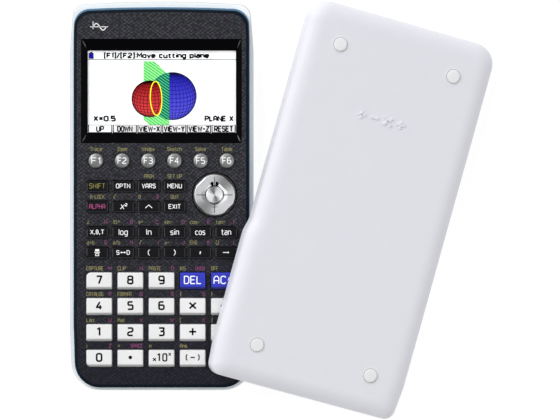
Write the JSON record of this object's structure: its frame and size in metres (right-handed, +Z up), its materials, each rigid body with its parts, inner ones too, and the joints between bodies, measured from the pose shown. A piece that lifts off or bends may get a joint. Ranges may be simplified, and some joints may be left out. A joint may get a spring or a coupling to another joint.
{
  "type": "graphing calculator",
  "caption": "Handheld graphing calculator with a display window, keypad and cursor pad, lying on its back beside its turned, leaning slide-on hard cover.",
  "frame": {"origin": "middle of the flat back face of the rear case", "axes": "+Z up out of the keys, +Y towards the display end, +X to the right as the keys are read"},
  "size_m": [0.2051, 0.2024, 0.0307],
  "materials": {
    "white_shell": "smooth moulded white",
    "blue_trim": "satin blue-grey",
    "black_front": "fine woven texture",
    "window": "polished",
    "display": "lit picture under a clear pane",
    "board": "solder mask",
    "keypad_rubber": "moulded silicone",
    "cell_jacket": "printed sleeve",
    "screw_steel": "plated",
    "dark_plastic": "moulded",
    "silver_plastic": "metallic silver coating",
    "black_key": "moulded, printed legend",
    "white_key": "moulded, printed legend",
    "blue_key": "moulded, printed legend",
    "cover_plastic": "soft satin grain",
    "foot_rubber": "moulded"
  },
  "bodies": {
    "calculator": {"rear_case": "white_shell", "accent_trim": "blue_trim", "front_case": "black_front", "display_window": "window", "display_module": "display", "main_board": "board", "rubber_keypad": "keypad_rubber", "batteries": "cell_jacket", "case_screws": "screw_steel"},
    "battery_door": {"battery_door": "white_shell"},
    "restart_button": {"restart_button": "dark_plastic"},
    "cursor_pad": {"cursor_pad": "silver_plastic"},
    "slide_cover": {"slide_cover": "cover_plastic", "cover_feet": "foot_rubber"},
    "key_f1": {"key_f1": "silver_plastic"},
    "key_f2": {"key_f2": "silver_plastic"},
    "key_f3": {"key_f3": "silver_plastic"},
    "key_f4": {"key_f4": "silver_plastic"},
    "key_f5": {"key_f5": "silver_plastic"},
    "key_f6": {"key_f6": "silver_plastic"},
    "key_shift": {"key_shift": "black_key"},
    "key_option": {"key_option": "black_key"},
    "key_vars": {"key_vars": "black_key"},
    "key_menu": {"key_menu": "black_key"},
    "key_alpha": {"key_alpha": "black_key"},
    "key_square": {"key_square": "black_key"},
    "key_power": {"key_power": "black_key"},
    "key_exit": {"key_exit": "black_key"},
    "key_variable": {"key_variable": "black_key"},
    "key_log": {"key_log": "black_key"},
    "key_ln": {"key_ln": "black_key"},
    "key_sin": {"key_sin": "black_key"},
    "key_cos": {"key_cos": "black_key"},
    "key_tan": {"key_tan": "black_key"},
    "key_fraction": {"key_fraction": "black_key"},
    "key_format": {"key_format": "black_key"},
    "key_left_paren": {"key_left_paren": "black_key"},
    "key_right_paren": {"key_right_paren": "black_key"},
    "key_comma": {"key_comma": "black_key"},
    "key_store": {"key_store": "black_key"},
    "key_7": {"key_7": "white_key"},
    "key_8": {"key_8": "white_key"},
    "key_9": {"key_9": "white_key"},
    "key_delete": {"key_delete": "blue_key"},
    "key_clear": {"key_clear": "blue_key"},
    "key_4": {"key_4": "white_key"},
    "key_5": {"key_5": "white_key"},
    "key_6": {"key_6": "white_key"},
    "key_multiply": {"key_multiply": "white_key"},
    "key_divide": {"key_divide": "white_key"},
    "key_1": {"key_1": "white_key"},
    "key_2": {"key_2": "white_key"},
    "key_3": {"key_3": "white_key"},
    "key_plus": {"key_plus": "white_key"},
    "key_minus": {"key_minus": "white_key"},
    "key_0": {"key_0": "white_key"},
    "key_point": {"key_point": "white_key"},
    "key_exponent": {"key_exponent": "white_key"},
    "key_negate": {"key_negate": "white_key"},
    "key_enter": {"key_enter": "white_key"}
  },
  "joints": [
    {"name": "battery_door_hinge", "type": "hinge", "parent": "calculator", "child": "battery_door", "pos_m": [0, 0.0786, 0.0001], "axis": [1, 0, 0], "range_deg": [0, 30], "stiffness_Nm_per_rad": 0.01, "springref_deg": -34.38},
    {"name": "restart_press", "type": "slide", "parent": "calculator", "child": "restart_button", "axis": [0, 0, 1], "range_m": [0, 0.0006], "stiffness_N_per_m": 500},
    {"name": "cursor_tilt", "type": "hinge", "parent": "calculator", "child": "cursor_pad", "pos_m": [0.0257, 0.0004, 0.0135], "axis": [1, 0, 0], "range_deg": [-3, 3], "stiffness_Nm_per_rad": 0.2},
    {"name": "cover_lift", "type": "slide", "parent": "calculator", "child": "slide_cover", "axis": [0, 0, 1], "range_m": [0, 0.06]},
    {"name": "press_f1", "type": "slide", "parent": "calculator", "child": "key_f1", "axis": [0, 0, -1], "range_m": [0, 0.0009], "stiffness_N_per_m": 700},
    {"name": "press_f2", "type": "slide", "parent": "calculator", "child": "key_f2", "axis": [0, 0, -1], "range_m": [0, 0.0009], "stiffness_N_per_m": 700},
    {"name": "press_f3", "type": "slide", "parent": "calculator", "child": "key_f3", "axis": [0, 0, -1], "range_m": [0, 0.0009], "stiffness_N_per_m": 700},
    {"name": "press_f4", "type": "slide", "parent": "calculator", "child": "key_f4", "axis": [0, 0, -1], "range_m": [0, 0.0009], "stiffness_N_per_m": 700},
    {"name": "press_f5", "type": "slide", "parent": "calculator", "child": "key_f5", "axis": [0, 0, -1], "range_m": [0, 0.0009], "stiffness_N_per_m": 700},
    {"name": "press_f6", "type": "slide", "parent": "calculator", "child": "key_f6", "axis": [0, 0, -1], "range_m": [0, 0.0009], "stiffness_N_per_m": 700},
    {"name": "press_shift", "type": "slide", "parent": "calculator", "child": "key_shift", "axis": [0, 0, -1], "range_m": [0, 0.0009], "stiffness_N_per_m": 700},
    {"name": "press_option", "type": "slide", "parent": "calculator", "child": "key_option", "axis": [0, 0, -1], "range_m": [0, 0.0009], "stiffness_N_per_m": 700},
    {"name": "press_vars", "type": "slide", "parent": "calculator", "child": "key_vars", "axis": [0, 0, -1], "range_m": [0, 0.0009], "stiffness_N_per_m": 700},
    {"name": "press_menu", "type": "slide", "parent": "calculator", "child": "key_menu", "axis": [0, 0, -1], "range_m": [0, 0.0009], "stiffness_N_per_m": 700},
    {"name": "press_alpha", "type": "slide", "parent": "calculator", "child": "key_alpha", "axis": [0, 0, -1], "range_m": [0, 0.0009], "stiffness_N_per_m": 700},
    {"name": "press_square", "type": "slide", "parent": "calculator", "child": "key_square", "axis": [0, 0, -1], "range_m": [0, 0.0009], "stiffness_N_per_m": 700},
    {"name": "press_power", "type": "slide", "parent": "calculator", "child": "key_power", "axis": [0, 0, -1], "range_m": [0, 0.0009], "stiffness_N_per_m": 700},
    {"name": "press_exit", "type": "slide", "parent": "calculator", "child": "key_exit", "axis": [0, 0, -1], "range_m": [0, 0.0009], "stiffness_N_per_m": 700},
    {"name": "press_variable", "type": "slide", "parent": "calculator", "child": "key_variable", "axis": [0, 0, -1], "range_m": [0, 0.0009], "stiffness_N_per_m": 700},
    {"name": "press_log", "type": "slide", "parent": "calculator", "child": "key_log", "axis": [0, 0, -1], "range_m": [0, 0.0009], "stiffness_N_per_m": 700},
    {"name": "press_ln", "type": "slide", "parent": "calculator", "child": "key_ln", "axis": [0, 0, -1], "range_m": [0, 0.0009], "stiffness_N_per_m": 700},
    {"name": "press_sin", "type": "slide", "parent": "calculator", "child": "key_sin", "axis": [0, 0, -1], "range_m": [0, 0.0009], "stiffness_N_per_m": 700},
    {"name": "press_cos", "type": "slide", "parent": "calculator", "child": "key_cos", "axis": [0, 0, -1], "range_m": [0, 0.0009], "stiffness_N_per_m": 700},
    {"name": "press_tan", "type": "slide", "parent": "calculator", "child": "key_tan", "axis": [0, 0, -1], "range_m": [0, 0.0009], "stiffness_N_per_m": 700},
    {"name": "press_fraction", "type": "slide", "parent": "calculator", "child": "key_fraction", "axis": [0, 0, -1], "range_m": [0, 0.0009], "stiffness_N_per_m": 700},
    {"name": "press_format", "type": "slide", "parent": "calculator", "child": "key_format", "axis": [0, 0, -1], "range_m": [0, 0.0009], "stiffness_N_per_m": 700},
    {"name": "press_left_paren", "type": "slide", "parent": "calculator", "child": "key_left_paren", "axis": [0, 0, -1], "range_m": [0, 0.0009], "stiffness_N_per_m": 700},
    {"name": "press_right_paren", "type": "slide", "parent": "calculator", "child": "key_right_paren", "axis": [0, 0, -1], "range_m": [0, 0.0009], "stiffness_N_per_m": 700},
    {"name": "press_comma", "type": "slide", "parent": "calculator", "child": "key_comma", "axis": [0, 0, -1], "range_m": [0, 0.0009], "stiffness_N_per_m": 700},
    {"name": "press_store", "type": "slide", "parent": "calculator", "child": "key_store", "axis": [0, 0, -1], "range_m": [0, 0.0009], "stiffness_N_per_m": 700},
    {"name": "press_7", "type": "slide", "parent": "calculator", "child": "key_7", "axis": [0, 0, -1], "range_m": [0, 0.0009], "stiffness_N_per_m": 700},
    {"name": "press_8", "type": "slide", "parent": "calculator", "child": "key_8", "axis": [0, 0, -1], "range_m": [0, 0.0009], "stiffness_N_per_m": 700},
    {"name": "press_9", "type": "slide", "parent": "calculator", "child": "key_9", "axis": [0, 0, -1], "range_m": [0, 0.0009], "stiffness_N_per_m": 700},
    {"name": "press_delete", "type": "slide", "parent": "calculator", "child": "key_delete", "axis": [0, 0, -1], "range_m": [0, 0.0009], "stiffness_N_per_m": 700},
    {"name": "press_clear", "type": "slide", "parent": "calculator", "child": "key_clear", "axis": [0, 0, -1], "range_m": [0, 0.0009], "stiffness_N_per_m": 700},
    {"name": "press_4", "type": "slide", "parent": "calculator", "child": "key_4", "axis": [0, 0, -1], "range_m": [0, 0.0009], "stiffness_N_per_m": 700},
    {"name": "press_5", "type": "slide", "parent": "calculator", "child": "key_5", "axis": [0, 0, -1], "range_m": [0, 0.0009], "stiffness_N_per_m": 700},
    {"name": "press_6", "type": "slide", "parent": "calculator", "child": "key_6", "axis": [0, 0, -1], "range_m": [0, 0.0009], "stiffness_N_per_m": 700},
    {"name": "press_multiply", "type": "slide", "parent": "calculator", "child": "key_multiply", "axis": [0, 0, -1], "range_m": [0, 0.0009], "stiffness_N_per_m": 700},
    {"name": "press_divide", "type": "slide", "parent": "calculator", "child": "key_divide", "axis": [0, 0, -1], "range_m": [0, 0.0009], "stiffness_N_per_m": 700},
    {"name": "press_1", "type": "slide", "parent": "calculator", "child": "key_1", "axis": [0, 0, -1], "range_m": [0, 0.0009], "stiffness_N_per_m": 700},
    {"name": "press_2", "type": "slide", "parent": "calculator", "child": "key_2", "axis": [0, 0, -1], "range_m": [0, 0.0009], "stiffness_N_per_m": 700},
    {"name": "press_3", "type": "slide", "parent": "calculator", "child": "key_3", "axis": [0, 0, -1], "range_m": [0, 0.0009], "stiffness_N_per_m": 700},
    {"name": "press_plus", "type": "slide", "parent": "calculator", "child": "key_plus", "axis": [0, 0, -1], "range_m": [0, 0.0009], "stiffness_N_per_m": 700},
    {"name": "press_minus", "type": "slide", "parent": "calculator", "child": "key_minus", "axis": [0, 0, -1], "range_m": [0, 0.0009], "stiffness_N_per_m": 700},
    {"name": "press_0", "type": "slide", "parent": "calculator", "child": "key_0", "axis": [0, 0, -1], "range_m": [0, 0.0009], "stiffness_N_per_m": 700},
    {"name": "press_point", "type": "slide", "parent": "calculator", "child": "key_point", "axis": [0, 0, -1], "range_m": [0, 0.0009], "stiffness_N_per_m": 700},
    {"name": "press_exponent", "type": "slide", "parent": "calculator", "child": "key_exponent", "axis": [0, 0, -1], "range_m": [0, 0.0009], "stiffness_N_per_m": 700},
    {"name": "press_negate", "type": "slide", "parent": "calculator", "child": "key_negate", "axis": [0, 0, -1], "range_m": [0, 0.0009], "stiffness_N_per_m": 700},
    {"name": "press_enter", "type": "slide", "parent": "calculator", "child": "key_enter", "axis": [0, 0, -1], "range_m": [0, 0.0009], "stiffness_N_per_m": 700}
  ]
}
